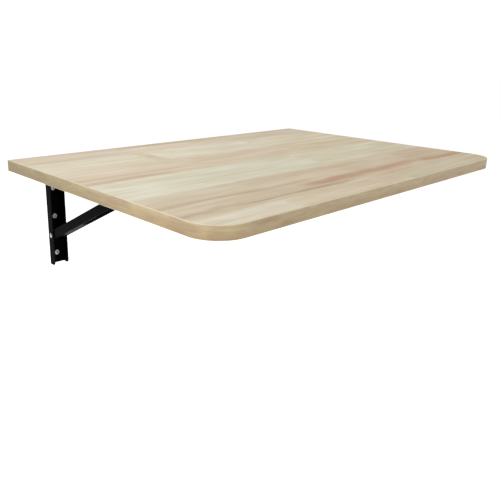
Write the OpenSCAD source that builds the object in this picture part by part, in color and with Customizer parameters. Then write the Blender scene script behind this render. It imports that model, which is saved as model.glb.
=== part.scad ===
// Drop leaf table: a laminated board carried by two self-locking folding
// brackets screwed to a wall. All sizes in millimetres.
// X runs along the wall, +Y points into the wall, Z is up. The origin lies on
// the wall plane, at the centre of the four outer wall screws.

/* [Leaf] */
// Length of the leaf along the wall
leaf_width = 700;
// [500:1:1200]
// Depth of the leaf, wall to front edge
leaf_depth = 500;
// [400:1:700]
// Total board thickness
board = 18;
// [15:0.5:25]
// Plan radius of the two front corners
corner_r = 45;
// [10:1:80]
// Thickness of each decor sheet
decor = 0.6;
// [0.3:0.1:1.2]
// Thickness of the edge banding
band = 1;
// [0.5:0.1:2]
// Gap between the rear edge and the wall
wall_gap = 1.5;
// [1:0.5:5]

/* [Bracket placing] */
// Bracket centre line in from the leaf's end
end_inset = 75;
// [40:1:150]
// Pivot line out from the wall
pivot_out = 10.5;
// [10:0.5:20]
// Pivot line below the leaf's underside
pivot_drop = 13;
// [12:0.5:20]

/* [Steel] */
// Sheet thickness of every channel
steel = 1.5;
// [1:0.1:2.5]
// Inside radius of every bend
bend = 0.5;
// [0.3:0.1:1]
// Outside width of the wall arm
wall_arm_width = 27;
// [22:0.5:40]
// Side gap between nested channels
side_gap = 0.3;
// [0.2:0.05:1]
// Wall arm above the pivot line
wall_arm_top = 9;
// [6:0.5:10]
// Wall arm below the pivot line
wall_arm_bottom = 163;
// [150:1:260]
// Wall arm flange in front of the pivot line
wall_arm_front = 6;
// [5.5:0.1:12]
// Front corner radius of the wall arm
wall_arm_corner = 5.5;
// [2:0.5:6]

/* [Linkage] */
// Top pivot to brace pivot
pivot_drop_brace = 108;
// [90:1:130]
// Brace length, pivot to pin
brace_len = 240;
// [200:1:300]
// Brace flange above the pin line
brace_rise = 7;
// [5:0.5:10]
// Brace web outside face below the pin line
brace_fall = 7.8;
// [7:0.1:12]
// Web starts this far from the brace pivot
web_start = 20;
// [12:1:60]
// Full web ends this far from the brace pivot
web_full = 103;
// [60:1:108]
// Lipped web ends this far from the brace pivot
web_end = 160;
// [110:1:170]
// Table arm flange below the pivot line
arm_fall = 6;
// [5:0.5:8]
// Lobe radius round the top pivot
arm_lobe = 8.6;
// [7:0.1:10]
// Table arm past the folded pin
arm_tail = 82;
// [60:1:100]
// Lower outer corner radius of the table arm
arm_corner = 12;
// [2:0.5:16]

/* [Pivots] */
// Top pivot shank radius
top_pin_r = 3;
// [2:0.1:4]
// Brace pivot shank radius
brace_pin_r = 2.5;
// [2:0.1:3.5]
// Sliding pin radius
slide_pin_r = 3;
// [2:0.1:3.5]
// Running clearance on a radius
run = 0.05;
// [0.02:0.01:0.1]
// Sliding clearance in the slot, each side
slot_gap = 0.1;
// [0.05:0.05:0.3]
// Rivet head radius
rivet_head_r = 4.2;
// [4:0.1:7]
// Rivet head height
rivet_head_h = 1.6;
// [1:0.1:3]
// Washer outside radius
washer_r = 5.2;
// [5:0.1:8]

/* [Release lever] */
// Lever pivot past the open pin position
lever_reach = 71.7;
// [50:0.5:90]
// Lever pivot below the slot line
lever_drop = 6.5;
// [6:0.1:8]
// Lever rivet radius
lever_pin_r = 1.5;
// [1:0.1:2]
// Lever sheet thickness
lever_t = 1.5;
// [1:0.1:2]
// Tail length past the lever pivot
lever_tail = 49;
// [30:1:60]
// Tail tip below the slot line
tail_drop = 9.9;
// [9:0.1:11.5]
// Hook gap to the pin
hook_gap = 0.4;
// [0.2:0.1:1]
// Hook top above the slot line
hook_rise = 1.5;
// [0.5:0.1:2.5]
// Spring wire radius
wire_r = 0.4;
// [0.3:0.05:0.6]

/* [Screws] */
// Wall screw shank radius
wall_screw_r = 2.5;
// [2:0.1:3.5]
// Wall screw length behind the wall plane
wall_screw_len = 23;
// [20:1:60]
// Wall screw head radius
wall_head_r = 4.6;
// [4:0.1:6]
// Wall screw head height
wall_head_h = 0.9;
// [0.6:0.1:2.2]
// First wall screw below the top pivot
screw_a = 26;
// [20:1:40]
// Second wall screw below the top pivot
screw_b = 77;
// [60:1:95]
// Third wall screw below the top pivot
screw_c = 144;
// [122:1:150]
// Table screw shank radius
table_screw_r = 2;
// [1.5:0.1:3]
// Table screw length into the board
table_screw_len = 13;
// [8:1:15]
// Table screw head radius
table_head_r = 3.8;
// [3:0.1:5]
// Table screw head height
table_head_h = 2.1;
// [1.5:0.1:2.4]

/* [Hidden] */
$fn = 64;
e = 1;

bracket_x = leaf_width / 2 - end_inset;
pivot_z = (screw_a + screw_c) / 2;          // puts the origin between the outer screws
leaf_bottom = pivot_z + pivot_drop;
leaf_top = leaf_bottom + board;
rear_y = -wall_gap;
front_y = rear_y - leaf_depth;

wall_in = wall_arm_width / 2 - steel;       // half widths of the nested channels
brace_out = wall_in - side_gap;
brace_in = brace_out - steel;
arm_out = brace_in - side_gap;
arm_in = arm_out - steel;
lever_out = arm_in - side_gap - 0.1;
lever_in = lever_out - lever_t;

pin_open = sqrt(brace_len * brace_len - pivot_drop_brace * pivot_drop_brace);
pin_folded = pivot_drop_brace + brace_len;
brace_angle = asin(pivot_drop_brace / brace_len);
arm_end = pin_folded + arm_tail;
lever_u = pin_open + lever_reach;
hook_u = pin_open + slide_pin_r + hook_gap;
hook_t = 2.4;
hook_ramp = 2.6;
strap_top = slide_pin_r + 1.2;              // strap lies this far below the slot line
cheek_r = lever_pin_r + 1.5;
lug_a = lever_u - 7;
lug_b = lever_u + 8.5;
lug_fall = lever_drop + lever_pin_r + 2;
coil_r = lever_pin_r + 0.15 + wire_r;       // mean radius of the spring coil
leg_u = lever_u + 5.5;                      // where the spring leg turns into the lug
neck_r = 0.2;                               // neck radius over the shank
screw_gap = 0.05;                           // sheet hole round the neck
screw_downs = [screw_a, screw_b, screw_c];
arm_screw_us = [40, 150, pin_open + 46, arm_end - 35];

// Places a bracket's own frame: 2D x points out from the wall, 2D y up, and the
// extrusion runs along the wall. Everything is drawn about the top pivot.
module bracket(side) translate([side * bracket_x, -pivot_out, pivot_z]) children();
module along(w) rotate([90, 0, -90]) linear_extrude(height = w, center = true) children();
module both(inner, t) for (s = [-1, 1]) translate([s * (inner + t / 2), 0, 0]) along(t) children();
module bar(u, up, r, x0, x1) translate([x0, -u, up]) rotate([0, 90, 0]) cylinder(h = x1 - x0, r = r);
module domed(u, up, r, h, x, s) translate([x, -u, up]) rotate([0, s * 90, 0]) {
  cylinder(h = h * 0.45, r = r);
  translate([0, 0, h * 0.45]) intersection() {
    translate([0, 0, h * 0.55 - (r * r + h * h * 0.3025) / (h * 1.1)])
      sphere(r = (r * r + h * h * 0.3025) / (h * 1.1));
    cylinder(h = h, r = r);
  }
}
// Cross recess cut from a screw head whose top face is at z = 0, looking down -Z.
module recess(r) for (a = [0, 90]) rotate([0, 0, a]) translate([-r * 0.55, -0.45, -1.6]) cube([r * 1.1, 0.9, 3]);

module leaf_plan(in) {
  hw = leaf_width / 2 - in;
  translate([-hw, front_y + corner_r]) square([2 * hw, leaf_depth - corner_r - in]);
  translate([-hw + corner_r - in, front_y + in]) square([2 * (hw - corner_r + in), corner_r]);
  for (s = [-1, 1]) translate([s * (leaf_width / 2 - corner_r), front_y + corner_r]) circle(r = corner_r - in);
}
module slab(z0, z1) translate([0, 0, z0]) linear_extrude(height = z1 - z0) children();
module table_screw_holes(r) for (side = [-1, 1]) bracket(side)
  for (u = arm_screw_us) translate([0, -u, pivot_drop - steel - e]) cylinder(h = steel + e + table_screw_len, r = r);

// The board between its two decor sheets and inside its edge banding.
module leaf_core() color("burlywood") difference() {
  slab(leaf_bottom + decor, leaf_top - decor) leaf_plan(band);
  table_screw_holes(table_screw_r);
}
module top_decor_sheet() color("wheat") slab(leaf_top - decor, leaf_top) leaf_plan(band);
module bottom_decor_sheet() color("bisque") difference() {
  slab(leaf_bottom, leaf_bottom + decor) leaf_plan(band);
  table_screw_holes(table_screw_r);
}
module edge_band_front() color("tan") slab(leaf_bottom, leaf_top) difference() {
  leaf_plan(0);
  leaf_plan(band);
  translate([-leaf_width, rear_y - band]) square([2 * leaf_width, 2 * band]);
}
module edge_band_rear() color("tan") translate([-leaf_width / 2, rear_y - band, leaf_bottom])
  cube([leaf_width, band, board]);

// Cross section of a bent channel: web along 2D x at y = 0, open towards +y.
module u_solid(half, r, depth) {
  translate([-half + r, 0]) square([2 * (half - r), r]);
  translate([-half, r]) square([2 * half, depth - r]);
  for (s = [-1, 1]) translate([s * (half - r), r]) circle(r = r);
}
module u_section(half, depth) difference() {
  u_solid(half, bend + steel, depth);
  translate([0, steel]) u_solid(half - steel, bend, depth);
}

// Wall arm: a channel open to the front, its flanges rounded clear of the leaf.
module wall_arm_side() {
  translate([-pivot_out, -wall_arm_bottom + wall_arm_corner])
    square([pivot_out + wall_arm_front, wall_arm_bottom - wall_arm_corner]);
  translate([-pivot_out, -wall_arm_bottom]) square([pivot_out + wall_arm_front - wall_arm_corner, wall_arm_corner]);
  translate([wall_arm_front - wall_arm_corner, -wall_arm_bottom + wall_arm_corner]) circle(r = wall_arm_corner);
  translate([-pivot_out, 0]) square([pivot_out + wall_arm_front - wall_arm_corner, wall_arm_top]);
  translate([0, 0]) square([wall_arm_front, wall_arm_top - wall_arm_corner]);
  translate([wall_arm_front - wall_arm_corner, wall_arm_top - wall_arm_corner]) circle(r = wall_arm_corner);
}
module wall_arm(side) color("dimgray") bracket(side) difference() {
  intersection() {
    along(wall_arm_width + e) wall_arm_side();
    translate([0, pivot_out, -wall_arm_bottom - e]) linear_extrude(height = wall_arm_bottom + wall_arm_top + 2 * e)
      mirror([0, 1]) u_section(wall_arm_width / 2, pivot_out + wall_arm_front + e);
  }
  bar(0, 0, top_pin_r, -wall_arm_width, wall_arm_width);
  bar(0, -pivot_drop_brace, brace_pin_r, -wall_arm_width, wall_arm_width);
  for (d = screw_downs) translate([0, pivot_out + e, -d]) rotate([90, 0, 0]) cylinder(h = steel + 2 * e, r = wall_screw_r + neck_r + screw_gap);
}

// Table arm: a channel open downwards under the leaf, slotted for the pin.
module table_arm_side() difference() {
  union() {
    translate([0, -arm_fall]) square([arm_end - arm_corner, arm_fall + pivot_drop]);
    translate([0, -arm_fall + arm_corner]) square([arm_end, arm_fall + pivot_drop - arm_corner]);
    translate([arm_end - arm_corner, -arm_fall + arm_corner]) circle(r = arm_corner);
    circle(r = arm_lobe);
    translate([-arm_lobe, 0]) square([arm_lobe, pivot_drop]);
    translate([lug_a, -lug_fall]) square([lug_b - lug_a, lug_fall]);
  }
  translate([pivot_drop_brace, 0]) circle(r = brace_pin_r + 1);
  translate([pivot_drop_brace - brace_pin_r - 1, -arm_fall - e]) square([2 * brace_pin_r + 2, arm_fall + e]);
}
module table_arm(side) color("slategray") bracket(side) difference() {
  intersection() {
    along(2 * arm_out + e) table_arm_side();
    translate([0, arm_lobe + e, pivot_drop]) rotate([90, 0, 0]) linear_extrude(height = arm_end + arm_lobe + 2 * e)
      mirror([0, 1]) u_section(arm_out, pivot_drop + max(lug_fall, arm_lobe) + e);
  }
  bar(0, 0, top_pin_r + run, -arm_out - e, arm_out + e);
  for (u = [pin_open, pin_folded]) bar(u, 0, slide_pin_r + slot_gap, -arm_out - e, arm_out + e);
  translate([-arm_out - e, -pin_folded, -slide_pin_r - slot_gap])
    cube([2 * arm_out + 2 * e, pin_folded - pin_open, 2 * (slide_pin_r + slot_gap)]);
  bar(lever_u, -lever_drop, lever_pin_r, -arm_out - e, arm_out + e);
  bar(leg_u, -lever_drop - coil_r, wire_r + 0.1, -arm_out - e, 0);
  for (u = arm_screw_us) translate([0, -u, pivot_drop - steel - e]) cylinder(h = steel + 2 * e, r = table_screw_r + neck_r + screw_gap);
}

// Brace: a channel with its web on the lower side and a fork at the pin.
// 2D x runs from the brace pivot to the pin, the web is on the -y side.
brace_mid = (brace_rise - brace_fall) / 2;
brace_half = (brace_rise + brace_fall) / 2;
module brace_frame() translate([0, 0, -pivot_drop_brace]) rotate([-brace_angle, 0, 0]) children();
module brace_side() {
  translate([0, -brace_fall]) square([brace_len, 2 * brace_half]);
  for (d = [0, brace_len]) translate([d, brace_mid]) circle(r = brace_half);
}
module brace(side) color("darkslategray") bracket(side) brace_frame() difference() {
  intersection() {
    along(2 * brace_out + e) brace_side();
    translate([0, brace_half + e, -brace_fall]) rotate([90, 0, 0]) linear_extrude(height = brace_len + 2 * brace_half + 2 * e)
      u_section(brace_out, 2 * brace_half + e);
  }
  translate([-brace_in, -web_start, -brace_fall - e]) cube([2 * brace_in, web_start + brace_half + e, steel + bend + e]);
  translate([-brace_in, -brace_len - brace_half - e, -brace_fall - e])
    cube([2 * brace_in, brace_len + brace_half + e - web_end, steel + bend + e]);
  translate([-arm_in, -web_end - e, -brace_fall - e]) cube([2 * arm_in, web_end - web_full + e - arm_in, steel + 2 * e]);
  translate([0, -web_full - arm_in, -brace_fall - e]) cylinder(h = steel + 2 * e, r = arm_in);
  bar(0, 0, brace_pin_r + run, -brace_out - e, brace_out + e);
  bar(brace_len, 0, slide_pin_r, -brace_out - e, brace_out + e);
}

// The pin that rides in the slots, and its riveted ends in the fork.
module slide_pin(side) color("silver") bracket(side) bar(pin_open, 0, slide_pin_r, -arm_out, arm_out);
module fork_rivets(side) color("lightgray") bracket(side) for (s = [-1, 1]) {
  bar(pin_open, 0, slide_pin_r, s > 0 ? brace_in : -brace_out, s > 0 ? brace_out : -brace_in);
  domed(pin_open, 0, rivet_head_r, rivet_head_h, s * brace_out, s);
}
module through_rivet(up, r) {
  bar(0, up, r, -wall_arm_width / 2, wall_arm_width / 2);
  for (s = [-1, 1]) domed(0, up, rivet_head_r, rivet_head_h, s * wall_arm_width / 2, s);
}
module top_pivot_rivet(side) color("silver") bracket(side) through_rivet(0, top_pin_r);
module brace_pivot_rivet(side) color("silver") bracket(side) through_rivet(-pivot_drop_brace, brace_pin_r);
module top_pivot_washers(side) color("gainsboro") bracket(side) for (s = [-1, 1]) difference() {
  bar(0, 0, washer_r, s > 0 ? brace_in : -wall_in, s > 0 ? wall_in : -brace_in);
  bar(0, 0, top_pin_r + 0.2, -wall_arm_width, wall_arm_width);
}

// Release lever: strap with a hook at the pin, two cheeks at its rivet, a tail.
module lever_strap() {
  translate([hook_u + 1, -strap_top - lever_t]) square([lever_u - 4.5 - hook_u - 1, lever_t]);
  polygon([[hook_u, -strap_top - lever_t], [hook_u, hook_rise], [hook_u + hook_t, hook_rise],
           [hook_u + hook_t + hook_ramp, -strap_top], [hook_u + hook_t + hook_ramp, -strap_top - lever_t]]);
  polygon([[lever_u + 4.5, -strap_top], [lever_u + 4.5, -strap_top - lever_t],
           [lever_u + lever_tail - 0.2, -tail_drop], [lever_u + lever_tail, -tail_drop + lever_t]]);
}
module lever_cheek() {
  translate([lever_u, -lever_drop]) circle(r = cheek_r);
  translate([lever_u - 7, -lever_drop - 1]) square([14, lever_drop + 1 - strap_top]);
}
module release_lever(side) color("dimgray") bracket(side) difference() {
  union() { along(2 * lever_out) lever_strap(); both(lever_in, lever_t) lever_cheek(); }
  bar(lever_u, -lever_drop, lever_pin_r + run, -lever_out - e, lever_out + e);
}
module lever_rivet(side) color("silver") bracket(side) bar(lever_u, -lever_drop, lever_pin_r, -arm_out, arm_out);

// Torsion spring on the lever rivet: close coils, one leg under the strap and
// one hooked in the table arm's lug.
coil_half = lever_in - 1.6;
coil_turns = floor(2 * coil_half / (1.9 * wire_r));
coil_pitch = 2 * coil_half / coil_turns;
module wire(p, q) {
  d = q - p;
  translate(p) rotate([0, acos(d[2] / norm(d)), atan2(d[1], d[0])]) cylinder(h = norm(d), r = wire_r);
}
module lever_spring(side) color("lightgray") bracket(side) {
  low = -lever_drop - coil_r;
  translate([0, -lever_u, -lever_drop]) rotate([0, 90, 0]) rotate_extrude() {
    for (i = [0 : coil_turns]) translate([coil_r, -coil_half + i * coil_pitch]) circle(r = wire_r, $fn = 24);
    translate([coil_r - wire_r / 2, -coil_half]) square([wire_r, 2 * coil_half]);
  }
  wire([coil_half, -lever_u, low], [coil_half, -lever_u + 16, -strap_top - lever_t - wire_r - 0.1]);
  wire([-coil_half, -lever_u, low], [-coil_half, -leg_u, low]);
  wire([-coil_half, -leg_u, low], [-arm_out + 0.4, -leg_u, low]);
  translate([-coil_half, -leg_u, low]) sphere(r = wire_r);
}

// Head on the -Y side of y = 0, shank to +Y with a slightly thicker neck under the head.
module screw_y(len, r, hr, hh, tip, neck) {
  difference() {
    union() {
      rotate([90, 0, 0]) { cylinder(h = hh * 0.4, r = hr); translate([0, 0, hh * 0.4]) cylinder(h = hh * 0.6, r1 = hr, r2 = hr * 0.8); }
      rotate([-90, 0, 0]) cylinder(h = neck, r = r + neck_r);
      rotate([-90, 0, 0]) cylinder(h = len - tip, r = r);
    }
    translate([0, -hh, 0]) rotate([90, 0, 0]) recess(hr);
  }
  translate([0, len - tip, 0]) rotate([-90, 0, 0]) cylinder(h = tip, r1 = r, r2 = 0.4);
}
module wall_screws(side) color("silver") bracket(side) for (d = screw_downs)
  translate([0, pivot_out - steel, -d]) screw_y(wall_screw_len + steel, wall_screw_r, wall_head_r, wall_head_h, 5, steel + 0.3);
module table_screws(side) color("silver") bracket(side) for (u = arm_screw_us)
  translate([0, -u, pivot_drop - steel]) rotate([90, 0, 0]) screw_y(table_screw_len + steel, table_screw_r, table_head_r, table_head_h, 3, steel);

leaf_core();
top_decor_sheet();
bottom_decor_sheet();
edge_band_front();
edge_band_rear();
wall_arm(-1);  // wall_arm_left
wall_arm(1);  // wall_arm_right
table_arm(-1);  // table_arm_left
table_arm(1);  // table_arm_right
brace(-1);  // brace_left
brace(1);  // brace_right
slide_pin(-1);  // slide_pin_left
slide_pin(1);  // slide_pin_right
fork_rivets(-1);  // fork_rivets_left
fork_rivets(1);  // fork_rivets_right
top_pivot_rivet(-1);  // top_pivot_rivet_left
top_pivot_rivet(1);  // top_pivot_rivet_right
top_pivot_washers(-1);  // top_pivot_washers_left
top_pivot_washers(1);  // top_pivot_washers_right
brace_pivot_rivet(-1);  // brace_pivot_rivet_left
brace_pivot_rivet(1);  // brace_pivot_rivet_right
release_lever(-1);  // release_lever_left
release_lever(1);  // release_lever_right
lever_rivet(-1);  // lever_rivet_left
lever_rivet(1);  // lever_rivet_right
lever_spring(-1);  // lever_spring_left
lever_spring(1);  // lever_spring_right
wall_screws(-1);  // wall_screws_left
wall_screws(1);  // wall_screws_right
table_screws(-1);  // table_screws_left
table_screws(1);  // table_screws_right
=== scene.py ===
"""Drop leaf table: a laminated leaf on two self-locking folding brackets, which hold it
level or let it hang down against the wall. Metres, X along the wall, +Y into it, Z up."""
import math

import bmesh
import bpy
from mathutils import Matrix, Vector


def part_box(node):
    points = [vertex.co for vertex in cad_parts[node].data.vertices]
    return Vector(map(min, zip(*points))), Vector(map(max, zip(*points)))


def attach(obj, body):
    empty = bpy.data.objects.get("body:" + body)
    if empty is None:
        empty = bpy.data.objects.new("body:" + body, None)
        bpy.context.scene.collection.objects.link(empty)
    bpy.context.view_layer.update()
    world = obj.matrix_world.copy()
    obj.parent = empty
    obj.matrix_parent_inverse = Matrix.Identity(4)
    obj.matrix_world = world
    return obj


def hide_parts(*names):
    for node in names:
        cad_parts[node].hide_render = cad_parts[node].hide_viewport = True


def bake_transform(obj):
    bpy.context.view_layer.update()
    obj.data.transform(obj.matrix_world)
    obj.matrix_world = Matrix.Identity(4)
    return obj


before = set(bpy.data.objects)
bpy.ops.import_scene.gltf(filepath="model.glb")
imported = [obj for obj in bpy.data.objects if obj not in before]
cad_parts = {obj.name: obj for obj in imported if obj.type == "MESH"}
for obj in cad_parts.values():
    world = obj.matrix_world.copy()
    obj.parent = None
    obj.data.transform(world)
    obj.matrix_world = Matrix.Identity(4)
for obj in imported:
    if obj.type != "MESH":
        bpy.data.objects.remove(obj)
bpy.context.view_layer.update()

# --- Camera ---------------------------------------------------------------------------
# Stands to the left in front of the leaf, a little above it, and looks along its length
# towards the wall.
MM = 0.001
azimuth, fall, roll = math.radians(44.56), math.radians(15.55), math.radians(1.24)
ahead = Vector((math.sin(azimuth) * math.cos(fall), math.cos(azimuth) * math.cos(fall),
                -math.sin(fall)))
level = Vector((math.cos(azimuth), -math.sin(azimuth), 0))
rise = level.cross(ahead)
across = level * math.cos(roll) + rise * math.sin(roll)
upward = across.cross(ahead)
lens = bpy.data.cameras.new("camera")
lens.sensor_width, lens.lens = 36.0, 40.97
lens.shift_x, lens.shift_y = 0.0296, -0.0764
lens.clip_end = 50
camera = bpy.data.objects.new("camera", lens)
stand = Vector((-723.4, -909.1, 290.0)) * MM
facing = Matrix((across, upward, -ahead)).transposed().to_4x4()
camera.matrix_world = Matrix.Translation(stand) @ facing
bpy.context.scene.collection.objects.link(camera)
bpy.context.scene.camera = camera


# --- Studio ---------------------------------------------------------------------------
# A white sweep far below the leaf and soft light from all round, strongest from above
# on the left.
def linear(code):
    """An sRGB hex colour as the linear RGBA a shader wants."""
    channels = [int(code[i:i + 2], 16) / 255 for i in (1, 3, 5)]
    return [c / 12.92 if c <= 0.04045 else ((c + 0.055) / 1.055) ** 2.4
            for c in channels] + [1.0]


def add(tree, kind, props=None, links=None):
    """Adds one node: props are its own settings, links are socket values or wires."""
    made = tree.nodes.new(kind)
    for name, value in (props or {}).items():
        if name == "stops":
            ramp = made.color_ramp
            for place, colour in value[2:]:
                ramp.elements.new(place)
            for element, (place, colour) in zip(ramp.elements, sorted(value)):
                element.position, element.color = place, colour
        else:
            setattr(made, name, value)
    for name, value in (links or {}).items():
        if isinstance(value, bpy.types.NodeSocket):
            tree.links.new(value, made.inputs[name])
        else:
            made.inputs[name].default_value = value
    return made


def material(name):
    """A new material with only its Principled shader, and the tree that holds it."""
    made = bpy.data.materials.new(name)
    made.use_nodes = True
    return made, made.node_tree, made.node_tree.nodes["Principled BSDF"].inputs


def build(name, bm, look):
    """Turns a bmesh into an object with one material, sharp only at its real corners."""
    bmesh.ops.recalc_face_normals(bm, faces=bm.faces)
    mesh = bpy.data.meshes.new(name)
    bm.to_mesh(mesh)
    bm.free()
    for face in mesh.polygons:
        face.use_smooth = True
    mesh.set_sharp_from_angle(angle=math.radians(32))
    mesh.materials.append(look)
    made = bpy.data.objects.new(name, mesh)
    bpy.context.scene.collection.objects.link(made)
    return made


world = bpy.context.scene.world or bpy.data.worlds.new("studio")
bpy.context.scene.world = world
world.use_nodes = True
sky = world.node_tree.nodes["Background"].inputs
sky["Color"].default_value = linear("#ffffff")
seen = add(world.node_tree, "ShaderNodeLightPath").outputs["Is Camera Ray"]
strength = add(world.node_tree, "ShaderNodeMapRange", {}, {
    "Value": seen, "To Min": 0.58, "To Max": 1.0}).outputs["Result"]
world.node_tree.links.new(strength, sky["Strength"])
bpy.context.scene.view_settings.view_transform = "Standard"

white_paper, tree, shader = material("white_paper_sweep")
shader["Base Color"].default_value = linear("#fbfbfb")
shader["Roughness"].default_value = 0.9
shader["Specular IOR Level"].default_value = 0.1
shader["Emission Color"].default_value = linear("#ffffff")
shader["Emission Strength"].default_value = 0.45
floor_z, floor_half = -640 * MM, 30
bm = bmesh.new()
bmesh.ops.create_grid(bm, x_segments=1, y_segments=1, size=floor_half)
bmesh.ops.translate(bm, vec=(0, 0, floor_z), verts=bm.verts)
sweep = build("floor", bm, white_paper)

aim = Vector((0, -0.25, 0.05))
for name, at, size, power, tint in (
        ("key", (-2.3, -0.6, 2.5), 2.2, 74, "#fffefb"),
        ("fill", (1.8, -2.2, 1.2), 2.5, 3, "#fafcff"),
        ("back", (0.6, 2.0, 2.2), 2.0, 22, "#ffffff")):
    lamp = bpy.data.lights.new(name, "AREA")
    lamp.size, lamp.energy, lamp.color = size, power, linear(tint)[:3]
    lit = bpy.data.objects.new(name, lamp)
    lit.location = at
    lit.rotation_euler = (aim - Vector(at)).to_track_quat("-Z", "Y").to_euler()
    bpy.context.scene.collection.objects.link(lit)

# --- Wall arms ------------------------------------------------------------------------
# Bent steel channels screwed to the wall, open to the room so that the leaf's arms fold
# into them. Sprayed black, like every other bent part of the brackets.
# Powder coat: baked black polyester, satin, with the faint orange peel it sets with.
powder_coat, tree, shader = material("black_powder_coated_steel")
place = add(tree, "ShaderNodeTexCoord").outputs["Object"]
peel_mm, drift_mm = 1.4, 35
peel = add(tree, "ShaderNodeTexNoise", {}, {
    "Vector": place, "Scale": 1 / (peel_mm * MM), "Detail": 2.0})
drift = add(tree, "ShaderNodeTexNoise", {}, {
    "Vector": place, "Scale": 1 / (drift_mm * MM), "Detail": 4.0})
colour = add(tree, "ShaderNodeValToRGB", {
    "stops": [(0.3, linear("#010101")), (0.75, linear("#040404"))]}, {"Fac": drift.outputs["Fac"]})
gloss = add(tree, "ShaderNodeMapRange", {}, {
    "Value": drift.outputs["Fac"], "From Min": 0.3, "From Max": 0.7,
    "To Min": 0.44, "To Max": 0.55})
peel_depth = 0.06 * MM
bump = add(tree, "ShaderNodeBump", {}, {
    "Height": peel.outputs["Fac"], "Strength": 0.12, "Distance": peel_depth})
# Handling rubs the coat thin along bends and cut edges; the fine grey line there is that wear and
# also a painted highlight.
wear_and_highlight_mm = 0.9
rounded = add(tree, "ShaderNodeBevel", {"samples": 4}, {"Radius": wear_and_highlight_mm * MM}).outputs["Normal"]
flat = add(tree, "ShaderNodeNewGeometry").outputs["True Normal"]
agree = add(tree, "ShaderNodeVectorMath", {"operation": "DOT_PRODUCT"}, {
    0: rounded, 1: flat}).outputs["Value"]
wear_and_highlight_mask = add(tree, "ShaderNodeMapRange", {"interpolation_type": "SMOOTHSTEP"}, {
    "Value": agree, "From Min": 0.97, "From Max": 0.8, "To Max": 0.5}).outputs["Result"]
# Mixes the grey of the rubbed coat and of the painted highlight into the black.
worn_and_highlit = add(tree, "ShaderNodeMix", {"data_type": "RGBA"}, {
    "Factor": wear_and_highlight_mask, 6: colour.outputs["Color"], 7: linear("#3a3b3e")}).outputs[2]
tree.links.new(worn_and_highlit, shader["Base Color"])
tree.links.new(gloss.outputs["Result"], shader["Roughness"])
tree.links.new(bump.outputs["Normal"], shader["Normal"])
shader["Specular IOR Level"].default_value = 0.015


def finish(name, look):
    """Gives a CAD node its material."""
    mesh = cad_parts[name].data
    mesh.materials.clear()
    mesh.materials.append(look)


SIDES = ("left", "right")
for side in SIDES:
    finish(f"wall_arm_{side}", powder_coat)

# --- Wall screws, rivets and washers --------------------------------------------------
# Zinc plated steel: pan head screws with a cross recess, and rivets set after plating.
# Bright zinc is a soft blue-white metal with a fine, slightly cloudy crystal bloom.
zinc, tree, shader = material("bright_zinc_plated_steel")
place = add(tree, "ShaderNodeTexCoord").outputs["Object"]
bloom_mm = 2.5
bloom = add(tree, "ShaderNodeTexNoise", {}, {
    "Vector": place, "Scale": 1 / (bloom_mm * MM), "Detail": 3.0})
colour = add(tree, "ShaderNodeValToRGB", {
    "stops": [(0.3, linear("#85888d")), (0.7, linear("#b0b2b5"))]}, {"Fac": bloom.outputs["Fac"]})
gloss = add(tree, "ShaderNodeMapRange", {}, {
    "Value": bloom.outputs["Fac"], "From Min": 0.3, "From Max": 0.7,
    "To Min": 0.26, "To Max": 0.4})
# Painted shade: the colour darkens down in a recess and close under a head, where shade falls.
recess_shade_mm = 1.5
recess_shade = add(tree, "ShaderNodeAmbientOcclusion", {"samples": 6, "only_local": True}, {
    "Distance": recess_shade_mm * MM})
painted_recess_shade = add(tree, "ShaderNodeValToRGB", {
    "stops": [(0.45, linear("#4a4c50")), (0.9, linear("#ffffff"))]}, {"Fac": recess_shade.outputs["AO"]})
# Multiplies the painted shade into the zinc's colour.
plated = add(tree, "ShaderNodeMix", {"data_type": "RGBA", "blend_type": "MULTIPLY"}, {
    "Factor": 1.0, 6: colour.outputs["Color"], 7: painted_recess_shade.outputs["Color"]}).outputs[2]
tree.links.new(plated, shader["Base Color"])
tree.links.new(gloss.outputs["Result"], shader["Roughness"])
shader["Metallic"].default_value = 1.0

for side in SIDES:
    for name in ("top_pivot_rivet", "top_pivot_washers", "brace_pivot_rivet"):
        finish(f"{name}_{side}", zinc)

# One screw, along Y from its head to its point: where each ring lies, the core's radius
# and how far the thread stands out from it, in millimetres.
pitch_mm, crest_share, around = 2.2, 0.2, 32
rings = [(-2.4, 3.4, 0), (-2.36, 3.68, 0), (-2.2, 4.15, 0), (-2.0, 4.45, 0), (-1.86, 4.6, 0),
         (-1.5, 4.6, 0), (-1.5, 2.7, 0), (0.3, 2.7, 0), (0.5, 1.8, 0)]
core_r, thread_h, tip_r = 1.8, 0.7, 0.05
thread_start, run_in, taper_start, point = 0.7, 2, 18.0, 23.0
steps = 104
for i in range(steps + 1):
    at = thread_start + (point - thread_start) * i / steps
    thin = min(1.0, (point - at) / (point - taper_start))
    crest = thread_h * thin * min(1.0, (at - thread_start) / run_in)
    rings.append((at, max(tip_r, core_r * thin), crest))
bm = bmesh.new()
loops = []
for at, core, crest in rings:
    loop = []
    for k in range(around):
        turn = 2 * math.pi * k / around
        phase = (at / pitch_mm - k / around) % 1
        out = (core + crest * max(0.0, 1 - abs(phase - 0.5) / crest_share)) * MM
        loop.append(bm.verts.new((out * math.cos(turn), at * MM, out * math.sin(turn))))
    loops.append(loop)
for one, two in zip(loops, loops[1:]):
    for k in range(around):
        bm.faces.new((one[k], one[k - 1], two[k - 1], two[k]))
bm.faces.new(loops[0])
bm.faces.new(loops[-1])
blank = build("screw_blank", bm, zinc)
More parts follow.
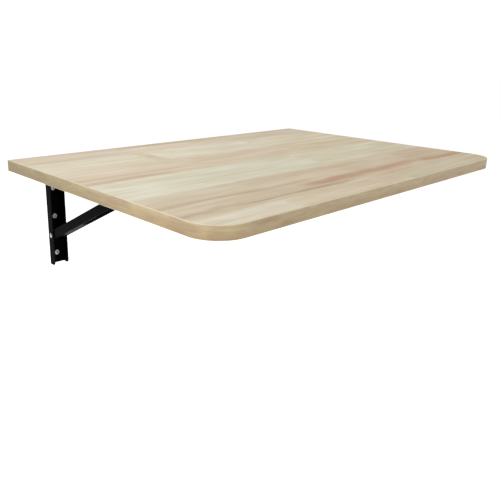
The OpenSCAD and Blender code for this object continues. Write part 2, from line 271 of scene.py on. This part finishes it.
# The cross recess, punched with sloping sides: where each end of the punch lies, how far
# its four wings reach and half their thickness.
quarter_turns = ((1, 0), (0, 1), (-1, 0), (0, -1))
bm = bmesh.new()
ends = []
for at, reach, half in ((-2.6, 2.6, 0.5), (-1.0, 1.5, 0.3)):
    outline = [(reach, -half), (reach, half), (half, half)]
    corners = [(x * c - z * d, x * d + z * c) for c, d in quarter_turns for x, z in outline]
    ends.append([bm.verts.new((x * MM, at * MM, z * MM)) for x, z in corners])
bm.faces.new(ends[0])
bm.faces.new(list(reversed(ends[1])))
for k in range(len(ends[0])):
    bm.faces.new((ends[0][k], ends[0][k - 1], ends[1][k - 1], ends[1][k]))
punch = build("recess_punch", bm, zinc)
cut = blank.modifiers.new("recess", "BOOLEAN")
cut.operation, cut.object = "DIFFERENCE", punch
punched = blank.evaluated_get(bpy.context.evaluated_depsgraph_get())
pattern = bpy.data.meshes.new_from_object(punched)
for spent in (blank, punch):
    bpy.data.objects.remove(spent)

# Three screws down each wall arm, at these places across and heights, in millimetres.
screw_heights = (59, 8, -59)
for side, x in zip(SIDES, (-275, 275)):
    bm = bmesh.new()
    for z in screw_heights:
        known = set(bm.verts)
        bm.from_mesh(pattern)
        bmesh.ops.translate(bm, vec=(x * MM, 0, z * MM),
                            verts=[v for v in bm.verts if v not in known])
    screws = build(f"pan_head_screws_{side}", bm, zinc)
    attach(screws, "wall_mount")
    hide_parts(f"wall_screws_{side}")

# --- Braces, fork rivets and slide pins -----------------------------------------------
# Each brace is a smaller channel that swings inside the wall arm. Its forked end holds
# the pin that slides along the table arm.
for side in SIDES:
    finish(f"brace_{side}", powder_coat)
    finish(f"fork_rivets_{side}", zinc)
    finish(f"slide_pin_{side}", zinc)

# --- Table arms and release levers ----------------------------------------------------
# The innermost channels, screwed up under the leaf. Each holds a sprung lever whose hook
# keeps the pin at the end of its slot.
for side in SIDES:
    finish(f"table_arm_{side}", powder_coat)
    finish(f"release_lever_{side}", powder_coat)
    for name in ("lever_rivet", "table_screws"):
        finish(f"{name}_{side}", zinc)

# --- Lever springs --------------------------------------------------------------------
# Torsion springs of hard drawn wire, wound round the lever's rivet. One leg hooks into the
# table arm and the other lies under the lever, so the coil winds up as the lever is pressed.
# Spring wire: drawn and oiled carbon steel, darker than the zinc, with drawing lines.
spring_wire, tree, shader = material("oiled_spring_steel_wire")
place = add(tree, "ShaderNodeTexCoord").outputs["Object"]
drawn_mm = 0.3
drawn = add(tree, "ShaderNodeTexNoise", {}, {
    "Vector": place, "Scale": 1 / (drawn_mm * MM), "Detail": 2.0})
colour = add(tree, "ShaderNodeValToRGB", {
    "stops": [(0.35, linear("#6d6f72")), (0.65, linear("#8e9093"))]}, {"Fac": drawn.outputs["Fac"]})
gloss = add(tree, "ShaderNodeMapRange", {}, {
    "Value": drawn.outputs["Fac"], "To Min": 0.22, "To Max": 0.36})
tree.links.new(colour.outputs["Color"], shader["Base Color"])
tree.links.new(gloss.outputs["Result"], shader["Roughness"])
shader["Metallic"].default_value = 1.0

wire_r, coil_r, turns, per_turn = 0.4 * MM, 2.05 * MM, 11, 24
bend_step, leg_gap, leg_rise = 0.3 * wire_r, 0.1 * MM, 0.25 * MM
for side in SIDES:
    rivet = [(a + b) / 2 for a, b in zip(*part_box(f"lever_rivet_{side}"))]
    low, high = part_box(f"lever_spring_{side}")
    start_x, end_x = 2 * rivet[0] - high[0] + wire_r, high[0] - wire_r
    lug_y, bottom = low[1] + wire_r, rivet[2] - coil_r
    path = [(low[0], lug_y, bottom), (start_x - wire_r, lug_y, bottom),
            (start_x - bend_step, lug_y + bend_step, bottom), (start_x, lug_y + wire_r, bottom)]
    for i in range(turns * per_turn + 1):
        turn = math.radians(360 * i / per_turn - 90)
        path.append((start_x + (end_x - start_x) * i / (turns * per_turn),
                     rivet[1] + coil_r * math.cos(turn), rivet[2] + coil_r * math.sin(turn)))
    path.append((end_x, high[1] - leg_gap, rivet[2] + leg_rise))
    drawing = bpy.data.curves.new("spring_path", "CURVE")
    drawing.dimensions, drawing.use_fill_caps = "3D", True
    drawing.bevel_depth, drawing.bevel_resolution = wire_r, 3
    spline = drawing.splines.new("POLY")
    spline.points.add(len(path) - 1)
    for knot, at in zip(spline.points, path):
        knot.co = (*at, 1.0)
    guide = bpy.data.objects.new("spring_path", drawing)
    bm = bmesh.new()
    bm.from_mesh(guide.to_mesh())
    guide.to_mesh_clear()
    bpy.data.objects.remove(guide)
    coil = build(f"spring_coil_{side}", bm, spring_wire)
    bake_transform(coil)
    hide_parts(f"lever_spring_{side}")

# --- Board core -----------------------------------------------------------------------
# Chipboard, hidden by its decor sheets and edge bands all round.
chipboard, tree, shader = material("raw_chipboard")
place = add(tree, "ShaderNodeTexCoord").outputs["Object"]
chip_mm = 4
chips = add(tree, "ShaderNodeTexVoronoi", {}, {"Vector": place, "Scale": 1 / (chip_mm * MM)})
colour = add(tree, "ShaderNodeValToRGB", {
    "stops": [(0.0, linear("#a98a5e")), (1.0, linear("#cdb488"))]},
    {"Fac": chips.outputs["Distance"]})
tree.links.new(colour.outputs["Color"], shader["Base Color"])
shader["Roughness"].default_value = 0.85
finish("leaf_core", chipboard)

# --- Decor sheets ---------------------------------------------------------------------
# Melamine faced paper printed as pale planks that run along the wall, some cream with a
# green cast, some pinkish, with a few red-brown heart streaks.
(leaf_left, leaf_front, leaf_bottom), (leaf_right, _, leaf_top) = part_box("edge_band_front")
leaf_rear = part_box("edge_band_rear")[1][1]
length = leaf_right - leaf_left
# Rows from the wall to the front: where each starts, then its planks from the left, all
# in millimetres, with their tones.
rows = (
    (0, ((0, "#cbbbaa"), (190, "#c4b59e"), (480, "#ccc0b0"))),
    (24, ((0, "#ccc1ad"), (215, "#d7cdbc"), (350, "#d1c7b4"))),
    (72, ((0, "#d4cebb"), (188, "#cec1aa"), (214, "#d9d6c5"), (455, "#d6cfbb"))),
    (155, ((0, "#cfc2ad"), (228, "#d2c6b3"), (470, "#d1c7b0"))),
    (250, ((0, "#d3d2c1"), (395, "#d4cfbb"))),
    (350, ((0, "#cabfaa"), (222, "#ccbfaa"), (560, "#c9bba5"))),
    (458, ((0, "#d5cfbf"), (150, "#d2c7b4"), (335, "#d4c6b5"), (402, "#cbc4ad"),
           (640, "#ccc5ac"))))
# Heart streaks and mineral lines, in millimetres: the middle line, half the width, where
# each one starts and fades out, then its tone and strength.
streaks = (
    (426, 18, 215, 900, "#a47350", 0.85), (422, 14, 235, 380, "#9c6c4c", 0.5),
    (446, 9, -90, 340, "#917457", 0.8), (404, 8, -90, 290, "#9c7f62", 0.6),
    (240, 9, -90, 170, "#a98a70", 0.65), (214, 8, -90, 240, "#ae9078", 0.55),
    (30, 9, -90, 60, "#be9078", 0.6), (392, 8, 520, 900, "#b0906f", 0.5))


def planks(name):
    """The printed plank paper, sealed under melamine."""
    made, tree, shader = material(name)
    place = add(tree, "ShaderNodeTexCoord").outputs["Object"]
    moved = add(tree, "ShaderNodeMapping", {"vector_type": "POINT"}, {
        "Vector": place, "Location": (-leaf_left / MM, -leaf_rear / MM, 0),
        "Scale": (1 / MM, 1 / MM, 1 / MM)})
    axes = add(tree, "ShaderNodeSeparateXYZ", {}, {"Vector": moved.outputs["Vector"]})
    along = axes.outputs["X"]
    out = add(tree, "ShaderNodeMath", {"operation": "MULTIPLY"}, {
        0: axes.outputs["Y"], 1: -1.0}).outputs[0]
    # The printed joints wander by a few millimetres and are soft, as a scanned plank is.
    waver_mm, row_sway_mm, end_sway_mm = 22, 9.0, 16.0
    waver = add(tree, "ShaderNodeTexNoise", {}, {
        "Vector": moved.outputs["Vector"], "Scale": 1 / waver_mm, "Detail": 3.0})
    sway = add(tree, "ShaderNodeSeparateColor", {}, {"Color": waver.outputs["Color"]}).outputs
    out_swayed = add(tree, "ShaderNodeMath", {"operation": "MULTIPLY_ADD"}, {
        0: sway["Red"], 1: row_sway_mm, 2: out}).outputs[0]
    out_swayed = add(tree, "ShaderNodeMath", {"operation": "SUBTRACT"}, {
        0: out_swayed, 1: row_sway_mm / 2}).outputs[0]
    share = add(tree, "ShaderNodeMath", {"operation": "MULTIPLY_ADD"}, {
        0: sway["Green"], 1: end_sway_mm, 2: along}).outputs[0]
    share = add(tree, "ShaderNodeMath", {"operation": "DIVIDE"}, {
        0: share, 1: length / MM}).outputs[0]
    end_blur_mm, row_blur_mm, run_on_mm = 3.5, 2.5, 20
    tone = None
    for start, cuts in rows:
        stops = []
        ends = cuts[1:] + ((length / MM + run_on_mm, None),)
        for (begin, code), (end, _) in zip(cuts, ends):
            first = (begin + end_sway_mm / 2 + end_blur_mm) * MM / length
            last = (end + end_sway_mm / 2 - end_blur_mm) * MM / length
            stops += [(first, linear(code)), (last, linear(code))]
        row = add(tree, "ShaderNodeValToRGB", {"stops": stops}, {"Fac": share})
        if tone is None:
            tone = row.outputs["Color"]
            continue
        past = add(tree, "ShaderNodeMapRange", {"interpolation_type": "SMOOTHSTEP"}, {
            "Value": out_swayed, "From Min": start - row_blur_mm, "From Max": start + row_blur_mm})
        tone = add(tree, "ShaderNodeMix", {"data_type": "RGBA"}, {
            "Factor": past.outputs["Result"], 6: tone, 7: row.outputs["Color"]}).outputs[2]
    # Each plank's own tone shifts its grain, so no two match across a joint.
    grain_shift = 40.0
    number = add(tree, "ShaderNodeSeparateColor", {}, {"Color": tone})
    offset = add(tree, "ShaderNodeMath", {"operation": "MULTIPLY"}, {
        0: number.outputs["Blue"], 1: grain_shift}).outputs[0]
    # Cloudy mottle, the figure of the year rings and the fine fibres: how far each runs
    # along the plank and across it, in millimetres.
    stretched = {}
    for grain, run_mm, width_mm, detail, twist in (
            ("mottle", 110.0, 34.0, 3.0, 0.3), ("figure", 240.0, 8.0, 4.0, 0.35),
            ("fibre", 90.0, 1.3, 3.0, 0.2)):
        flow = add(tree, "ShaderNodeCombineXYZ", {}, {
            "X": add(tree, "ShaderNodeMath", {"operation": "DIVIDE"}, {
                0: along, 1: run_mm}).outputs[0],
            "Y": add(tree, "ShaderNodeMath", {"operation": "DIVIDE"}, {
                0: out, 1: width_mm}).outputs[0]})
        stretched[grain] = add(tree, "ShaderNodeTexNoise", {"noise_dimensions": "4D"}, {
            "Vector": flow.outputs["Vector"], "W": offset, "Scale": 1.0, "Detail": detail,
            "Distortion": twist}).outputs["Fac"]
    for grain, dark, low, high in (
            ("mottle", "#f0eae0", 0.3, 0.7), ("figure", "#f4efe7", 0.36, 0.6),
            ("fibre", "#f4f0e9", 0.34, 0.66)):
        stain = add(tree, "ShaderNodeValToRGB", {
            "stops": [(low, linear(dark)), (high, linear("#ffffff"))]}, {"Fac": stretched[grain]})
        tone = add(tree, "ShaderNodeMix", {"data_type": "RGBA", "blend_type": "MULTIPLY"}, {
            "Factor": 1.0, 6: tone, 7: stain.outputs["Color"]}).outputs[2]
    # The streaks wander across their planks, fade at both ends and break up with the figure.
    wander_mm, streak_sway_mm, solid_share, fade_in_mm, fade_out_mm = 120, 34.0, 0.1, 45.0, 60.0
    wander = add(tree, "ShaderNodeTexNoise", {}, {
        "Vector": moved.outputs["Vector"], "Scale": 1 / wander_mm, "Detail": 3.0})
    for mid, half, begin, end, code, strength in streaks:
        off = add(tree, "ShaderNodeMath", {"operation": "MULTIPLY_ADD"}, {
            0: wander.outputs["Fac"], 1: streak_sway_mm, 2: out}).outputs[0]
        off = add(tree, "ShaderNodeMath", {"operation": "SUBTRACT"}, {
            0: off, 1: mid + streak_sway_mm / 2}).outputs[0]
        off = add(tree, "ShaderNodeMath", {"operation": "ABSOLUTE"}, {0: off}).outputs[0]
        streak = add(tree, "ShaderNodeMapRange", {"interpolation_type": "SMOOTHSTEP"}, {
            "Value": off, "From Min": float(half), "From Max": half * solid_share,
            "To Min": 0.0, "To Max": strength}).outputs[0]
        for low, high in ((begin, begin + fade_in_mm), (end, end - fade_out_mm)):
            here = add(tree, "ShaderNodeMapRange", {"interpolation_type": "SMOOTHSTEP"}, {
                "Value": along, "From Min": float(low), "From Max": high}).outputs[0]
            streak = add(tree, "ShaderNodeMath", {"operation": "MULTIPLY"}, {
                0: streak, 1: here}).outputs[0]
        broken = add(tree, "ShaderNodeMapRange", {}, {
            "Value": stretched["figure"], "From Min": 0.65, "From Max": 0.4,
            "To Min": 0.35, "To Max": 1.0}).outputs[0]
        amount = add(tree, "ShaderNodeMath", {"operation": "MULTIPLY"}, {
            0: streak, 1: broken}).outputs[0]
        tone = add(tree, "ShaderNodeMix", {"data_type": "RGBA"}, {
            "Factor": amount, 6: tone, 7: linear(code)}).outputs[2]
    tree.links.new(tone, shader["Base Color"])
    gloss = add(tree, "ShaderNodeMapRange", {}, {
        "Value": stretched["fibre"], "To Min": 0.42, "To Max": 0.56})
    tree.links.new(gloss.outputs["Result"], shader["Roughness"])
    pore_depth = 0.05 * MM
    pores = add(tree, "ShaderNodeBump", {}, {
        "Height": stretched["fibre"], "Strength": 0.15, "Distance": pore_depth})
    tree.links.new(pores.outputs["Normal"], shader["Normal"])
    shader["Specular IOR Level"].default_value = 0.4
    return made


plank_paper = planks("melamine_plank_paper")
for name in ("top_decor_sheet", "bottom_decor_sheet"):
    finish(name, plank_paper)

# --- Edge bands -----------------------------------------------------------------------
# Thin ABS strip, printed a shade browner than the top and glued round the board, then
# trimmed flush with a small round on both arrises.
edge_print, tree, shader = material("printed_abs_edge_strip")
place = add(tree, "ShaderNodeTexCoord").outputs["Object"]
axes = add(tree, "ShaderNodeSeparateXYZ", {}, {"Vector": place})
lap = add(tree, "ShaderNodeMath", {"operation": "SUBTRACT"}, {
    0: axes.outputs["X"], 1: axes.outputs["Y"]}).outputs[0]
grains = {}
for name, run_mm, width_mm, detail in (("patch", 60, 14, 4.0), ("line", 28, 3.0, 4.0)):
    flow = add(tree, "ShaderNodeCombineXYZ", {}, {
        "X": add(tree, "ShaderNodeMath", {"operation": "DIVIDE"}, {
            0: lap, 1: run_mm * MM}).outputs[0],
        "Y": add(tree, "ShaderNodeMath", {"operation": "DIVIDE"}, {
            0: axes.outputs["Z"], 1: width_mm * MM}).outputs[0]})
    grains[name] = add(tree, "ShaderNodeTexNoise", {}, {
        "Vector": flow.outputs["Vector"], "Scale": 1.0, "Detail": detail,
        "Distortion": 0.8}).outputs["Fac"]
base = add(tree, "ShaderNodeValToRGB", {"stops": [
    (0.3, linear("#a9957a")), (0.5, linear("#b2a385")), (0.7, linear("#bbad8c"))]},
    {"Fac": grains["patch"]})
lines = add(tree, "ShaderNodeValToRGB", {
    "stops": [(0.3, linear("#efe6da")), (0.7, linear("#ffffff"))]}, {"Fac": grains["line"]})
tone = add(tree, "ShaderNodeMix", {"data_type": "RGBA", "blend_type": "MULTIPLY"}, {
    "Factor": 1.0, 6: base.outputs["Color"], 7: lines.outputs["Color"]}).outputs[2]
# The colour darkens a little towards the bottom, and a painted shade darkens it towards the wall.
wall_shade_end = leaf_front + 100 * MM
for axis, low, high, code in (
        ("Z", leaf_bottom, leaf_top, "#e6dccc"), ("Y", leaf_rear, wall_shade_end, "#ccd1be")):
    fade = add(tree, "ShaderNodeMapRange", {}, {
        "Value": axes.outputs[axis], "From Min": low, "From Max": high}).outputs["Result"]
    shade = add(tree, "ShaderNodeValToRGB", {
        "stops": [(0.0, linear(code)), (1.0, linear("#ffffff"))]}, {"Fac": fade})
    tone = add(tree, "ShaderNodeMix", {"data_type": "RGBA", "blend_type": "MULTIPLY"}, {
        "Factor": 1.0, 6: tone, 7: shade.outputs["Color"]}).outputs[2]
# Trimming scrapes both arrises, which leaves them paler than the print; the pale band is also a
# painted highlight along them.
scrape_and_highlight_width, pale_share = 1.1 * MM, 0.4
for edge, inner in ((leaf_top, leaf_top - scrape_and_highlight_width), (leaf_bottom, leaf_bottom + scrape_and_highlight_width)):
    scraped_and_highlit = add(tree, "ShaderNodeMapRange", {}, {
        "Value": axes.outputs["Z"], "From Min": inner,
        "From Max": edge - (edge - inner) * pale_share, "To Max": 0.45}).outputs["Result"]
    tone = add(tree, "ShaderNodeMix", {"data_type": "RGBA"}, {
        "Factor": scraped_and_highlit, 6: tone, 7: linear("#e6dcc6")}).outputs[2]
tree.links.new(tone, shader["Base Color"])
shader["Roughness"].default_value = 0.45
shader["Specular IOR Level"].default_value = 0.4

# The strip's section: how far each corner lies outside the leaf's outline, and its height.
strip, arris, corner_r = 1.0 * MM, 0.9 * MM, 45 * MM
arris_steps, corner_steps = 4, 24
profile = [(-strip, leaf_bottom)]
for i in range(arris_steps + 1):
    turn = math.radians(90 * i / arris_steps)
    profile.append((-arris + arris * math.sin(turn), leaf_bottom + arris - arris * math.cos(turn)))
for i in range(arris_steps + 1):
    turn = math.radians(90 * i / arris_steps)
    profile.append((-arris + arris * math.cos(turn), leaf_top - arris + arris * math.sin(turn)))
profile.append((-strip, leaf_top))


def band(name, path, node):
    """Sweeps the section along a path of points, each with its outward direction."""
    bm = bmesh.new()
    rings = [[bm.verts.new((x + nx * out, y + ny * out, z)) for out, z in profile]
             for x, y, nx, ny in path]
    for one, two in zip(rings, rings[1:]):
        for i in range(len(profile)):
            j = (i + 1) % len(profile)
            bm.faces.new((one[i], one[j], two[j], two[i]))
    bm.faces.new(rings[0])
    bm.faces.new(list(reversed(rings[-1])))
    made = build(name, bm, edge_print)
    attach(made, "leaf")
    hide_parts(node)


outline = [(leaf_left, leaf_rear - strip, -1, 0)]
for cx, first in ((leaf_left + corner_r, 180), (leaf_right - corner_r, 270)):
    for i in range(corner_steps + 1):
        turn = math.radians(first + 90 * i / corner_steps)
        nx, ny = math.cos(turn), math.sin(turn)
        outline.append((cx + corner_r * nx, leaf_front + corner_r + corner_r * ny, nx, ny))
outline.append((leaf_right, leaf_rear - strip, 1, 0))
band("edge_strip_front", outline, "edge_band_front")
band("edge_strip_rear", [(leaf_right, leaf_rear, 0, 1), (leaf_left, leaf_rear, 0, 1)],
     "edge_band_rear")
